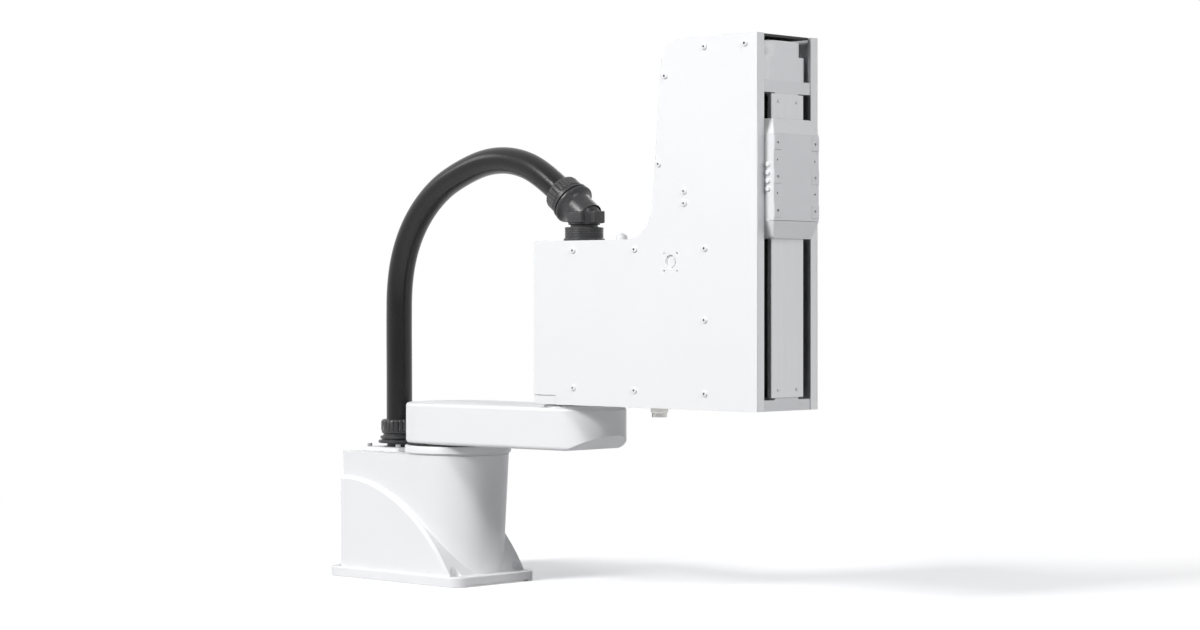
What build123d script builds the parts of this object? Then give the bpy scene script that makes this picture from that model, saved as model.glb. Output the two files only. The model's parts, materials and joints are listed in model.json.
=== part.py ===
from build123d import *
import math
import os

# Millimetres. The origin is on the first axis at floor level, +X runs along the arms to
# the tool, +Z is up. Each function makes one sub-part where it sits at rest.

# Axes and reach
ARM_1_REACH = 320.0          # first axis to second axis
ARM_2_FRONT_REACH = 461.0    # second axis to the front face of arm 2
ARM_2_REAR_REACH = 47.0      # second axis to the rear face of arm 2

# Base casting
FLANGE_THICK = 18.0
FLANGE_FRONT = 105.0
FLANGE_REAR = 250.0
FLANGE_HALF_WIDTH = 104.0
FLANGE_CORNER = 28.0
FLANGE_EDGE = 2.5
RELIEF_HEIGHT = 2.5          # shadow slot under the front edge, between the corner feet
RELIEF_DEPTH = 24.0
BOLT_FRONT_X = 80.0
BOLT_REAR_X = -230.0
BOLT_Y = 78.0
BOLT_HOLE_RADIUS = 6.5
BOLT_SEAT_RADIUS = 13.0
BOLT_SEAT_HEIGHT = 60.0
COLUMN_RADIUS = 93.0
COLUMN_DRAFT = 2.8           # degrees, narrower towards the foot
BODY_REAR = 212.0
BODY_TOP = 232.0
COLLAR_TOP = 243.0
COLLAR_RADIUS = 91.0
COLLAR_EDGE = 2.0
SKIRT_HALF_WIDTH = 98.0
SKIRT_LEDGE = 5.0
SKIRT_REAR_HEIGHT = 186.0
CABLE_BAY_HALF_WIDTH = 50.0
CABLE_BAY_BOTTOM = 50.0
CABLE_BAY_TOP = 150.0
MOTOR_BAY_RADIUS = 51.0
MOTOR_BAY_FLOOR = 22.0
SEAL_INNER_RADIUS = 76.0
SEAL_GAP = 0.5

# Rear panel of the base
PANEL_THICK = 3.0
PANEL_LAP = 9.0
PANEL_CORNER = 6.0
PANEL_SCREW_RADIUS = 3.5
PANEL_SCREW_HEIGHT = 2.2
PLUG_RADIUS = 14.0
PLUG_DEPTH = 16.0
PORT_RADIUS = 5.0
PORT_DEPTH = 12.0

# Strain-wave reducers and motors
RING_RADIUS = 56.0
RING_BORE_RADIUS = 46.0
RING_HEIGHT = 38.0
FLANGE_GAP = 0.5             # ring face to output flange
OUTPUT_RADIUS = 58.0
OUTPUT_THICK = 8.5
SPIGOT_HEIGHT = 14.0
CUP_RADIUS = 44.0
CUP_WALL = 3.0
CUP_BOTTOM = 4.0
CUP_START = 3.0
WAVE_GROOVE = 2.0
WAVE_START = 5.0
WAVE_THICK = 13.0
SHAFT_RADIUS = 7.0
SHAFT_SEAT = 15.0            # length of shaft inside the motor nose
MOTOR_SIDE = 70.0
MOTOR_CORNER = 8.0
MOTOR_LENGTH = 105.0
NOSE_RADIUS = 29.0
SHELF_THICK = 10.0
RUNNING_GAP = 0.05           # radial clearance where one piece turns in another
SEAT_GAP = 0.1               # radial clearance of pieces that are bolted in place

# Arm 1
ARM_1_BOTTOM = 252.0
ARM_1_TOP = 326.0
ARM_1_REAR_RADIUS = 95.0
ARM_1_FRONT_RADIUS = 74.0
ARM_1_TOP_EDGE = 6.0
ARM_1_BOTTOM_EDGE = 7.0
RAMP_START = 340.0
RAMP_RISE = 26.0
BOSS_RADIUS = 71.0
BOSS_HEIGHT = 4.0
BOSS_EDGE = 2.0
SOCKET_GAP = 2.0             # second reducer ring to the socket wall in arm 1
RIB_THICK = 12.0
UNDER_POCKET_START = 92.0
UNDER_POCKET_LENGTH = 70.0
UNDER_POCKET_HALF_WIDTH = 50.0
UNDER_POCKET_HEIGHT = 48.0
UNDER_COVER_THICK = 2.5
UNDER_COVER_LAP = 6.0

# Arm 2 housing
ARM_2_BOTTOM = 332.0
BOX_TOP = 615.0
COLUMN_TOP = 946.0
ARM_2_HALF_WIDTH = 77.5
COVER_THICK = 2.0
COLUMN_REAR_TOP = 575.3      # where the leaning rear edge meets the top
COLUMN_REAR_FOOT = 547.6     # where it meets the box top
COLUMN_TOP_ROUND = 43.0
COLUMN_FOOT_ROUND = 60.0
BOX_ROUND = 4.0
HOUSING_WALL = 7.0
FLOOR_THICK = 14.0
MODULE_DEPTH = 91.0          # from the arm's front face back to the casting's front wall
NOTCH_LENGTH = 55.0
NOTCH_HEIGHT = 16.5
NOTCH_ROUND = 6.0
COVER_SCREW_RADIUS = 4.5
COVER_SCREW_HEIGHT = 2.8
COVER_SCREW_SHANK = 2.2
HEX_RADIUS = 1.7
HEX_DEPTH = 1.6
PORT_BEHIND = 188.0          # round connector port, behind the front face
PORT_HEIGHT = 576.0
PORT_HOLE_RADIUS = 12.0
PORT_SCREW_PITCH = 29.0
PORT_SCREW_RADIUS = 1.6
BLANK_SIDE = 38.0
BLANK_THICK = 3.0
BLANK_RING_RADIUS = 10.0
LAMP_X = 410.0
LAMP_RADIUS = 10.0
LAMP_RIM = 4.0
GLAND_X = 498.0
GLAND_RADIUS = 15.0
GLAND_HEIGHT = 19.0
GLAND_NUT_HEIGHT = 11.0
GLAND_BORE_RADIUS = 8.0

# Vertical module in the nose of arm 2
PROFILE_INNER_HALF = 59.5
PROFILE_WEB = 4.0
PROFILE_LIP = 6.0
MODULE_SIDE_GAP = 0.2
PLATE_THICK = 12.0
END_BLOCK_HEIGHT = 18.0
BRACKET_BOTTOM = 851.0
BRACKET_THICK = 20.0
MODULE_FRONT_INSET = 2.0
RAIL_Y = 32.0
RAIL_WIDTH = 12.0
RAIL_HEIGHT = 12.0
RAIL_END_GAP = 2.0
GUIDE_GAP = 0.3
GUIDE_WIDTH = 30.0
GUIDE_LENGTH = 60.0
SCREW_BEHIND = 35.0          # ball screw axis behind the front face
SCREW_RADIUS = 8.0
JOURNAL_RADIUS = 6.0
BEARING_RADIUS = 14.0
BEARING_HEIGHT = 14.0
JOURNAL_IN_MOTOR = 12.0
FRONT_COVER_HALF = 41.0
FRONT_COVER_THICK = 2.0
FRONT_COVER_RETURN = 8.0
FRONT_COVER_LOW_GAP = 4.0
FRONT_COVER_HIGH_GAP = 2.0
LUG_HALF_WIDTH = 30.0
LUG_THICK = 7.8
LUG_HEIGHT = 22.0
FRONT_SCREW_Y = 23.5
FRONT_SCREW_INSET = 12.0
FRONT_SCREW_RADIUS = 3.0
FRONT_SCREW_HEIGHT = 1.6
BUFFER_RADIUS = 5.0
BUFFER_HEIGHT = 2.5
BUFFER_Y = 48.0
BUFFER_BEHIND = 45.0
MOTOR_COVER_HEIGHT = 40.0
MOTOR_COVER_HALF = 57.5
MOTOR_CAP_HEIGHT = 25.5
MOTOR_CAP_HALF = 45.0
MOTOR_COVER_ROUND = 20.0
MOTOR_COVER_WALL = 2.5
MOTOR_COVER_DEPTH = 76.0
MOTOR_COVER_INSET = 3.0
Z_MOTOR_SIDE = 56.0
Z_MOTOR_HEIGHT = 56.0
TOP_CAP_THICK = 4.0

# Carriage, at its rest height
TRAVEL_UP = 40.0
TRAVEL_DOWN = 260.0
TRAVEL_GAP = 3.0             # carriage to end block at each limit
CARRIAGE_BOTTOM = ARM_2_BOTTOM + END_BLOCK_HEIGHT + TRAVEL_GAP + TRAVEL_DOWN
CARRIAGE_TOP = BRACKET_BOTTOM - TRAVEL_GAP - TRAVEL_UP
CARRIAGE_HALF = 57.5
CARRIAGE_PROUD = 18.5        # tool face in front of the arm's front face
CARRIAGE_BACK_BEHIND = 54.0
CARRIAGE_CORE_BEHIND = 12.0
WINDOW_HALF = 43.0
BRIDGE_GAP = 4.0             # front cover to the back of the carriage's bridge
SLOPE_BACK = 9.0
TOP_SLOPE = 25.3
BOTTOM_SLOPE = 28.5
CARRIAGE_ROUND = 5.0
TOOL_PLATE_THICK = 9.5
TOOL_PLATE_GAP = 0.6
PAD_WIDTH = 18.0
PAD_HEIGHT = 22.0
PAD_PROUD = 1.2
PAD_Y = 48.0
PAD_PITCH = 55.0
PAD_CENTRE = 713.0
PAD_HOLE_RADIUS = 2.5
DOWEL_RADIUS = 2.0
DOWEL_DEPTH = 6.0
DOWEL_OFFSET = 27.0
NUT_RADIUS = 13.0
NUT_FLANGE_RADIUS = 18.0
NUT_FLANGE_THICK = 8.0
NUT_LENGTH = 60.0
FITTING_RADIUS = 4.0
FITTING_HEIGHT = 3.5
FITTING_PITCH = 13.3
FITTING_AHEAD = 7.0

# Conduit hose and its fittings
HOSE_RADIUS = 24.0
HOSE_BASE_X = -159.0
HOSE_PLATE_SIDE = 96.0
HOSE_PLATE_THICK = 7.0
HOSE_HOLE_RADIUS = 18.0
HOSE_SCREW_OFFSET = 39.0
HOSE_SCREW_RADIUS = 4.5
HOSE_SCREW_HEIGHT = 6.0
STUB_RADIUS = 23.0
LOW_RING_RADIUS = 39.0
FITTING_BODY_RADIUS = 30.0
HOSE_NUT_RADIUS = 34.0
HOSE_NUT_RIBS = 20
HOSE_START_HEIGHT = 290.0
HOSE_PLATE_STACK = (7.0, 5.0, 13.0)   # stub, low ring, fitting body: heights
ELBOW_ANGLE = 36.0           # of the hose end above level
ELBOW_CENTRE_HEIGHT = 663.0
ELBOW_TO_HOSE = 70.5         # elbow centre to the hose's end
TOP_FLANGE_RADIUS = 36.0
TOP_FLANGE_THICK = 6.0
TOP_RING_RADIUS = 34.0
TOP_RING_HEIGHT = 19.0
NECK_RADIUS = 24.5
NECK_GAP = 0.4
ELBOW_BODY_RADIUS = 28.0
ELBOW_RING_RADIUS = 38.0
ELBOW_RING_THICK = 5.0
ELBOW_RING_START = 29.0
WING_REACH = 38.0
WING_HALF_WIDTH = 13.0
WING_HEIGHT = 21.0

# The hose's route from the base nut to the elbow nut, as (x, z) points in the plane of the arms
HOSE_ROUTE = [
    (-159.0, 290.0), (-159.0, 376.0), (-160.0, 462.0), (-159.0, 547.0), (-140.5, 614.0),
    (-104.0, 671.0), (-50.0, 717.5), (13.0, 746.0), (81.0, 765.0), (150.0, 763.0),
]
HOSE_LAST_RUN = 60.0

# Places worked out from the sizes above
FRONT = ARM_1_REACH + ARM_2_FRONT_REACH
REAR = ARM_1_REACH - ARM_2_REAR_REACH
MODULE_BACK = FRONT - MODULE_DEPTH
MODULE_FACE = FRONT - MODULE_FRONT_INSET
SCREW_X = FRONT - SCREW_BEHIND
SHELF_TOP = COLLAR_TOP - RING_HEIGHT
HOUSING_HALF = ARM_2_HALF_WIDTH - COVER_THICK
MODULE_HALF = PROFILE_INNER_HALF - MODULE_SIDE_GAP
SOCKET_FLOOR = ARM_2_BOTTOM - RING_HEIGHT - FLANGE_GAP - OUTPUT_THICK
BRACKET_TOP = BRACKET_BOTTOM + BRACKET_THICK
BLOCK_TOP = ARM_2_BOTTOM + END_BLOCK_HEIGHT
TOOL_FACE = FRONT + CARRIAGE_PROUD
ELBOW_WAY = Vector(-math.cos(math.radians(ELBOW_ANGLE)), 0, math.sin(math.radians(ELBOW_ANGLE)))


def block(x, y, z):
    """A box between two values on each axis."""
    centre = [(low + high) / 2 for low, high in (x, y, z)]
    return Pos(*centre) * Box(x[1] - x[0], y[1] - y[0], z[1] - z[0])


def rod(radius, low, high, x=0.0, y=0.0):
    """An upright cylinder between two heights."""
    return Pos(x, y, (low + high) / 2) * Cylinder(radius, high - low)


def ring(outer, inner, low, high, x=0.0, y=0.0):
    """An upright tube between two heights."""
    return rod(outer, low, high, x, y) - rod(inner, low - 1, high + 1, x, y)


def rod_x(radius, low, high, y=0.0, z=0.0):
    """A cylinder along X."""
    return Pos((low + high) / 2, y, z) * Rot(0, 90, 0) * Cylinder(radius, high - low)


def rod_y(radius, low, high, x=0.0, z=0.0):
    """A cylinder along Y."""
    return Pos(x, (low + high) / 2, z) * Rot(90, 0, 0) * Cylinder(radius, high - low)


def plan(outline, low, high):
    """An outline seen from above, pulled up between two heights."""
    return extrude(Pos(0, 0, low) * outline, high - low)


def side_view(outline, low, high):
    """An outline in X and Z, pulled between two values of Y."""
    return Pos(0, high, 0) * extrude(Plane.XZ * outline, high - low)


def front_view(outline, low, high):
    """An outline in Y and Z, pulled between two values of X."""
    return Pos(low, 0, 0) * extrude(Plane.YZ * outline, high - low)


def polygon(*points):
    return make_face(Polyline(*points, close=True))


def rounded_at(outline, corner, radius):
    """Rounds the one corner of an outline that lies nearest to a point."""
    nearest = outline.vertices().sort_by_distance(Vector(*corner))[0]
    return fillet(nearest, radius)


def mirrored(shape):
    """The same shape on the other side of the plane of the arms."""
    return mirror(shape, about=Plane.XZ)


def group(shapes):
    """Separate solids kept together in one node."""
    return Compound(children=[solid for shape in shapes for solid in shape.solids()])


def stepped_seat(x, y):
    """Clear space above a foundation bolt, cut out of whatever stands over it."""
    return rod(BOLT_SEAT_RADIUS, FLANGE_THICK, FLANGE_THICK + BOLT_SEAT_HEIGHT, x, y)


def foot_flange():
    length = FLANGE_FRONT + FLANGE_REAR
    outline = RectangleRounded(length, 2 * FLANGE_HALF_WIDTH, FLANGE_CORNER)
    plate = plan(Pos((FLANGE_FRONT - FLANGE_REAR) / 2, 0) * outline, 0, FLANGE_THICK)
    plate = fillet(plate.faces().sort_by(Axis.Z)[-1].edges(), FLANGE_EDGE)
    slot_half = FLANGE_HALF_WIDTH - FLANGE_CORNER
    front_slot = block((FLANGE_FRONT - RELIEF_DEPTH, FLANGE_FRONT + 1),
                       (-slot_half, slot_half), (-1, RELIEF_HEIGHT))
    rear_slot = block((-FLANGE_REAR - 1, -FLANGE_REAR + RELIEF_DEPTH),
                      (-slot_half, slot_half), (-1, RELIEF_HEIGHT))
    return plate - front_slot - rear_slot


def drafted_body():
    """Round column and straight flanks, drawn in towards the foot, cut flat at the back."""
    spare = 30.0
    length = BODY_REAR + spare
    flanks = Pos(-length / 2, 0) * Rectangle(length, 2 * COLUMN_RADIUS)
    outline = Circle(COLUMN_RADIUS) + flanks
    down = Plane(origin=(0, 0, BODY_TOP), x_dir=(1, 0, 0), z_dir=(0, 0, -1))
    body = extrude(down * outline, BODY_TOP, taper=COLUMN_DRAFT)
    behind = block((-BODY_REAR - 2 * spare, -BODY_REAR),
                   (-2 * COLUMN_RADIUS, 2 * COLUMN_RADIUS), (-1, BODY_TOP + 1))
    return body - behind


def skirt():
    """Wider flanks that sweep down from the back to the front of the foot."""
    sweep_line = Spline((-BODY_REAR, SKIRT_REAR_HEIGHT), (-135, 178), (-70, 153), (-18, 122),
                        (32, 78), (78, FLANGE_THICK - 1))
    sides = Polyline((78, FLANGE_THICK - 1), (-BODY_REAR, FLANGE_THICK - 1),
                     (-BODY_REAR, SKIRT_REAR_HEIGHT))
    solid = side_view(make_face(sweep_line + sides), -SKIRT_HALF_WIDTH, SKIRT_HALF_WIDTH)
    ledge = solid.edges().filter_by(GeomType.BSPLINE)
    return chamfer(ledge, SKIRT_LEDGE)


def base_casting():
    """Foot, column, skirts and collar in one casting, with its motor bay and cable bay."""
    casting = foot_flange() + drafted_body() + skirt()
    collar = rod(COLLAR_RADIUS, BODY_TOP - 1, COLLAR_TOP)
    casting += fillet(collar.edges().sort_by(Axis.Z)[-1], COLLAR_EDGE)
    casting -= rod(RING_RADIUS + SEAT_GAP, SHELF_TOP, COLLAR_TOP + 1)
    casting -= rod(NOSE_RADIUS + SEAT_GAP, MOTOR_BAY_FLOOR, SHELF_TOP + 1)
    casting -= rod(MOTOR_BAY_RADIUS, MOTOR_BAY_FLOOR, SHELF_TOP - SHELF_THICK)
    casting -= block((-BODY_REAR - 1, 0), (-CABLE_BAY_HALF_WIDTH, CABLE_BAY_HALF_WIDTH),
                     (CABLE_BAY_BOTTOM, CABLE_BAY_TOP))
    casting -= rod(HOSE_HOLE_RADIUS, CABLE_BAY_TOP - 1, BODY_TOP + 1, HOSE_BASE_X)
    for x in (BOLT_FRONT_X, BOLT_REAR_X):
        for y in (-BOLT_Y, BOLT_Y):
            casting -= stepped_seat(x, y)
            casting -= rod(BOLT_HOLE_RADIUS, -1, FLANGE_THICK + 1, x, y)
    return casting


def panel_middle():
    return (CABLE_BAY_BOTTOM + CABLE_BAY_TOP) / 2


def base_rear_panel():
    """Connector panel screwed over the cable bay."""
    height = CABLE_BAY_TOP - CABLE_BAY_BOTTOM + 2 * PANEL_LAP
    width = 2 * (CABLE_BAY_HALF_WIDTH + PANEL_LAP)
    outline = Pos(0, panel_middle()) * RectangleRounded(width, height, PANEL_CORNER)
    return front_view(outline, -BODY_REAR - PANEL_THICK, -BODY_REAR)


def base_panel_screws():
    """Four button heads at the panel's corners."""
    y = CABLE_BAY_HALF_WIDTH + PANEL_LAP / 2
    z_offset = (CABLE_BAY_TOP - CABLE_BAY_BOTTOM) / 2 + PANEL_LAP / 2
    back = -BODY_REAR - PANEL_THICK
    heads = []
    for side in (-1, 1):
        for end in (-1, 1):
            z = panel_middle() + end * z_offset
            head = rod_x(PANEL_SCREW_RADIUS, back - PANEL_SCREW_HEIGHT, back, side * y, z)
            heads.append(fillet(head.edges().sort_by(Axis.X)[0], 1.0))
    return group(heads)


def round_socket(y, z):
    """A round chassis connector with a square flange and an open shell."""
    back = -BODY_REAR - PANEL_THICK
    side = 2 * PLUG_RADIUS + 4
    flange = front_view(Pos(y, z) * RectangleRounded(side, side, 3), back - 3, back)
    shell = rod_x(PLUG_RADIUS, back - PLUG_DEPTH, back - 3, y, z)
    recess = rod_x(PLUG_RADIUS - 2.5, back - PLUG_DEPTH - 1, back - 5, y, z)
    insert = rod_x(PLUG_RADIUS - 6, back - PLUG_DEPTH + 3, back - 4, y, z)
    return flange + shell - recess + insert


def signal_socket(y, z):
    """A flat D-shaped connector."""
    back = -BODY_REAR - PANEL_THICK
    flange = front_view(Pos(y, z) * RectangleRounded(62, 14, 3), back - 2, back)
    shell = front_view(Pos(y, z) * RectangleRounded(42, 11, 4), back - 8, back - 2)
    recess = front_view(Pos(y, z) * RectangleRounded(39, 8, 3), back - 9, back - 4)
    return flange + shell - recess


def base_connectors():
    """Power and encoder sockets above a signal socket."""
    middle = panel_middle()
    return group([round_socket(-24, middle + 24), round_socket(24, middle + 24),
                  signal_socket(0, middle - 6)])


def base_air_ports():
    """Three push-in air fittings in a row."""
    back = -BODY_REAR - PANEL_THICK
    z = panel_middle() - 32
    ports = []
    for y in (-24, 0, 24):
        nut = front_view(Pos(y, z) * RegularPolygon(PORT_RADIUS + 2, 6), back - 5, back)
        collar = rod_x(PORT_RADIUS, back - PORT_DEPTH, back - 5, y, z)
        bore = rod_x(PORT_RADIUS - 2, back - PORT_DEPTH - 1, back - 6, y, z)
        ports.append(nut + collar - bore)
    return group(ports)


def reducer_ring():
    """Fixed ring of a strain-wave reducer, its mounting face at z 0."""
    return chamfer(ring(RING_RADIUS, RING_BORE_RADIUS, 0, RING_HEIGHT).edges(), 0.5)


def output_flange():
    """Output flange above the ring, its spigot running inside the ring's bore."""
    face = RING_HEIGHT + FLANGE_GAP
    disc = rod(OUTPUT_RADIUS, face, face + OUTPUT_THICK)
    return disc + rod(RING_BORE_RADIUS - RUNNING_GAP, face - SPIGOT_HEIGHT, face + 1)


def flexspline():
    """Thin steel cup round the wave generator, closed where it bolts to the output flange."""
    top = RING_HEIGHT + FLANGE_GAP - SPIGOT_HEIGHT
    cup = rod(CUP_RADIUS, CUP_START, top)
    return cup - rod(CUP_RADIUS - CUP_WALL, CUP_START - 1, top - CUP_BOTTOM)


def wave_generator():
    """Cam plug with a groove round it, running inside the flexspline's cup."""
    radius = CUP_RADIUS - CUP_WALL - RUNNING_GAP
    top = WAVE_START + WAVE_THICK
    plug = ring(radius, SHAFT_RADIUS + RUNNING_GAP / 2, WAVE_START, top)
    return plug - ring(radius + 1, radius - WAVE_GROOVE, WAVE_START + 4, top - 4)


def motor_shaft():
    """Shaft from inside the motor's nose to the end of the wave generator."""
    return rod(SHAFT_RADIUS, -SHAFT_SEAT + 0.5, WAVE_START + WAVE_THICK)


def servo_motor(shelf):
    """Square servo motor below z 0, its nose passing up through the shelf it hangs from."""
    shoulder = -shelf
    low = shoulder - MOTOR_LENGTH
    flange = plan(RectangleRounded(MOTOR_SIDE, MOTOR_SIDE, MOTOR_CORNER), shoulder - 8, shoulder)
    waist = plan(RectangleRounded(MOTOR_SIDE - 4, MOTOR_SIDE - 4, MOTOR_CORNER),
                 low + 30, shoulder - 8)
    brake = plan(RectangleRounded(MOTOR_SIDE, MOTOR_SIDE, MOTOR_CORNER), low, low + 30)
    body = flange + waist + brake + rod(NOSE_RADIUS, shoulder - 1, 0)
    return body - rod(SHAFT_RADIUS + RUNNING_GAP, -SHAFT_SEAT, 1)


def at_first_axis(shape):
    """Puts a drive piece under arm 1: motor below, output above."""
    return Pos(0, 0, SHELF_TOP) * shape


def at_second_axis(shape):
    """Puts a drive piece on arm 2: motor above, output below."""
    return Pos(ARM_1_REACH, 0, ARM_2_BOTTOM) * Rot(180, 0, 0) * shape


def j1_seal_ring():
    """Black lip seal lying on the collar, just clear of arm 1."""
    return ring(COLLAR_RADIUS - COLLAR_EDGE, SEAL_INNER_RADIUS, COLLAR_TOP,
                ARM_1_BOTTOM - SEAL_GAP)


def arm_1_outline():
    """Two round ends joined by tangent sides."""
    rear = Circle(ARM_1_REAR_RADIUS)
    front = Pos(ARM_1_REACH, 0) * Circle(ARM_1_FRONT_RADIUS)
    return make_hull(rear.edges() + front.edges())


def arm_1_pockets():
    """Lightening pockets under the arm, either side of a cross rib."""
    pockets = []
    for number in range(2):
        start = UNDER_POCKET_START + number * (UNDER_POCKET_LENGTH + RIB_THICK)
        outline = RectangleRounded(UNDER_POCKET_LENGTH, 2 * UNDER_POCKET_HALF_WIDTH, 10)
        middle = start + UNDER_POCKET_LENGTH / 2
        pockets.append(plan(Pos(middle, 0) * outline, ARM_1_BOTTOM - 1,
                            ARM_1_BOTTOM + UNDER_POCKET_HEIGHT))
    return pockets


def under_cover_outline(grow=0.0):
    """Outline of the plate over both pockets."""
    length = 2 * UNDER_POCKET_LENGTH + RIB_THICK
    middle = UNDER_POCKET_START + length / 2
    extra = 2 * (UNDER_COVER_LAP + grow)
    outline = RectangleRounded(length + extra, 2 * UNDER_POCKET_HALF_WIDTH + extra, 12 + grow)
    return Pos(middle, 0) * outline


def arm_1_casting():
    """Slab arm with rounded edges, a rising nose, the second axis boss and socket."""
    arm = plan(arm_1_outline(), ARM_1_BOTTOM, ARM_1_TOP)
    arm = fillet(arm.faces().sort_by(Axis.Z)[-1].edges(), ARM_1_TOP_EDGE)
    arm = fillet(arm.faces().sort_by(Axis.Z)[0].edges(), ARM_1_BOTTOM_EDGE)
    nose = ARM_1_REACH + ARM_1_FRONT_RADIUS
    ramp = polygon((RAMP_START, ARM_1_BOTTOM), (2 * nose - RAMP_START, ARM_1_BOTTOM + 2 * RAMP_RISE),
                   (2 * nose - RAMP_START, ARM_1_BOTTOM - 10), (RAMP_START, ARM_1_BOTTOM - 10))
    arm -= side_view(ramp, -ARM_1_REAR_RADIUS, ARM_1_REAR_RADIUS)
    boss = rod(BOSS_RADIUS, ARM_1_TOP - 1, ARM_1_TOP + BOSS_HEIGHT, ARM_1_REACH)
    arm += fillet(boss.edges().sort_by(Axis.Z)[-1], BOSS_EDGE)
    arm -= rod(RING_RADIUS + SOCKET_GAP, SOCKET_FLOOR, ARM_1_TOP + BOSS_HEIGHT + 1, ARM_1_REACH)
    for pocket in arm_1_pockets():
        arm -= pocket
    recess = plan(under_cover_outline(SEAT_GAP), ARM_1_BOTTOM - 1, ARM_1_BOTTOM + UNDER_COVER_THICK)
    return arm - recess


def arm_1_under_cover():
    """Plate let in flush under the arm."""
    return plan(under_cover_outline(), ARM_1_BOTTOM, ARM_1_BOTTOM + UNDER_COVER_THICK)


def arm_1_cover_screws():
    """Low button heads under the plate, in two rows."""
    heads = []
    length = 2 * UNDER_POCKET_LENGTH + RIB_THICK
    y = UNDER_POCKET_HALF_WIDTH + UNDER_COVER_LAP / 2 - 1
    for share in (0.15, 0.5, 0.85):
        for side in (-1, 1):
            x = UNDER_POCKET_START + share * length
            heads.append(rod(2.8, ARM_1_BOTTOM - 1.4, ARM_1_BOTTOM, x, side * y))
    return group(heads)


def arm_2_outline(front):
    """Side view of the second arm: a box with a tall column at its front."""
    outline = polygon((REAR, ARM_2_BOTTOM), (front, ARM_2_BOTTOM), (front, COLUMN_TOP),
                      (COLUMN_REAR_TOP, COLUMN_TOP), (COLUMN_REAR_FOOT, BOX_TOP), (REAR, BOX_TOP))
    outline = rounded_at(outline, (COLUMN_REAR_TOP, COLUMN_TOP), COLUMN_TOP_ROUND)
    outline = rounded_at(outline, (COLUMN_REAR_FOOT, BOX_TOP), COLUMN_FOOT_ROUND)
    return rounded_at(outline, (REAR, BOX_TOP), BOX_ROUND)


def arm_2_casting():
    """Floor, roof and column walls in one, open at both sides under the side covers."""
    outline = arm_2_outline(MODULE_BACK)
    shell = side_view(outline, -HOUSING_HALF, HOUSING_HALF)
    hollow = offset(outline, -HOUSING_WALL)
    hollow -= Pos(REAR, 0) * Rectangle(3 * FRONT, 2 * (ARM_2_BOTTOM + FLOOR_THICK))
    shell -= side_view(hollow, -HOUSING_HALF - 1, HOUSING_HALF + 1)
    shell -= rod(NOSE_RADIUS + SEAT_GAP, ARM_2_BOTTOM - 1, ARM_2_BOTTOM + FLOOR_THICK + 1,
                 ARM_1_REACH)
    shell -= rod(HOSE_HOLE_RADIUS, BOX_TOP - HOUSING_WALL - 1, BOX_TOP + 1, ARM_1_REACH)
    shell -= rod(GLAND_BORE_RADIUS + 2, ARM_2_BOTTOM - 1, ARM_2_BOTTOM + FLOOR_THICK + 1, GLAND_X)
    return shell


def cover_screw_places():
    """Distance behind the front face, and height, of each side cover screw."""
    low_row = ARM_2_BOTTOM + 29
    roof_row = BOX_TOP - 17
    top_row = COLUMN_TOP - 16.5
    return [(25, top_row), (113, top_row), (200, top_row - 43.5), (214, top_row - 189.5),
            (157, roof_row + 95), (157, roof_row + 75), (112, roof_row), (269, roof_row),
            (413, roof_row), (112, roof_row - 118), (112, low_row - 2), (269, low_row),
            (412, low_row + 1)]


def side_cover():
    """Flat sheet over the right side, notched at its lower rear corner."""
    outline = arm_2_outline(FRONT)
    notch = Pos(REAR, ARM_2_BOTTOM) * Rectangle(2 * NOTCH_LENGTH, 2 * NOTCH_HEIGHT)
    notch = rounded_at(notch, (REAR + NOTCH_LENGTH, ARM_2_BOTTOM + NOTCH_HEIGHT), NOTCH_ROUND)
    sheet = side_view(outline - notch, -ARM_2_HALF_WIDTH, -HOUSING_HALF)
    for behind, z in cover_screw_places():
        sheet -= rod_y(COVER_SCREW_SHANK + SEAT_GAP, -ARM_2_HALF_WIDTH - 1, -HOUSING_HALF + 1,
                       FRONT - behind, z)
    return sheet


def port_screw_places():
    """Four holes on a square round the connector port."""
    half = PORT_SCREW_PITCH / 2
    x = FRONT - PORT_BEHIND
    return [(x + a * half, PORT_HEIGHT + b * half) for a in (-1, 1) for b in (-1, 1)]


def right_side_cover():
    """Cover on the right, with the round connector port and its four screw holes."""
    sheet = side_cover()
    sheet -= rod_y(PORT_HOLE_RADIUS, -ARM_2_HALF_WIDTH - 1, -HOUSING_HALF + 1,
                   FRONT - PORT_BEHIND, PORT_HEIGHT)
    for x, z in port_screw_places():
        sheet -= rod_y(PORT_SCREW_RADIUS, -ARM_2_HALF_WIDTH - 1, -HOUSING_HALF + 1, x, z)
    return sheet


def cover_screw(x, z):
    """Button head with a hex socket, and its shank in the sheet."""
    face = -ARM_2_HALF_WIDTH
    head = rod_y(COVER_SCREW_RADIUS, face - COVER_SCREW_HEIGHT, face, x, z)
    head = fillet(head.edges().sort_by(Axis.Y)[0], COVER_SCREW_HEIGHT * 0.6)
    socket = Pos(x, z) * RegularPolygon(HEX_RADIUS, 6)
    head -= side_view(socket, face - COVER_SCREW_HEIGHT - 1, face - COVER_SCREW_HEIGHT + HEX_DEPTH)
    return head + rod_y(COVER_SCREW_SHANK, face - 0.5, -HOUSING_HALF, x, z)


def right_cover_screws():
    return group([cover_screw(FRONT - behind, z) for behind, z in cover_screw_places()])


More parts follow.
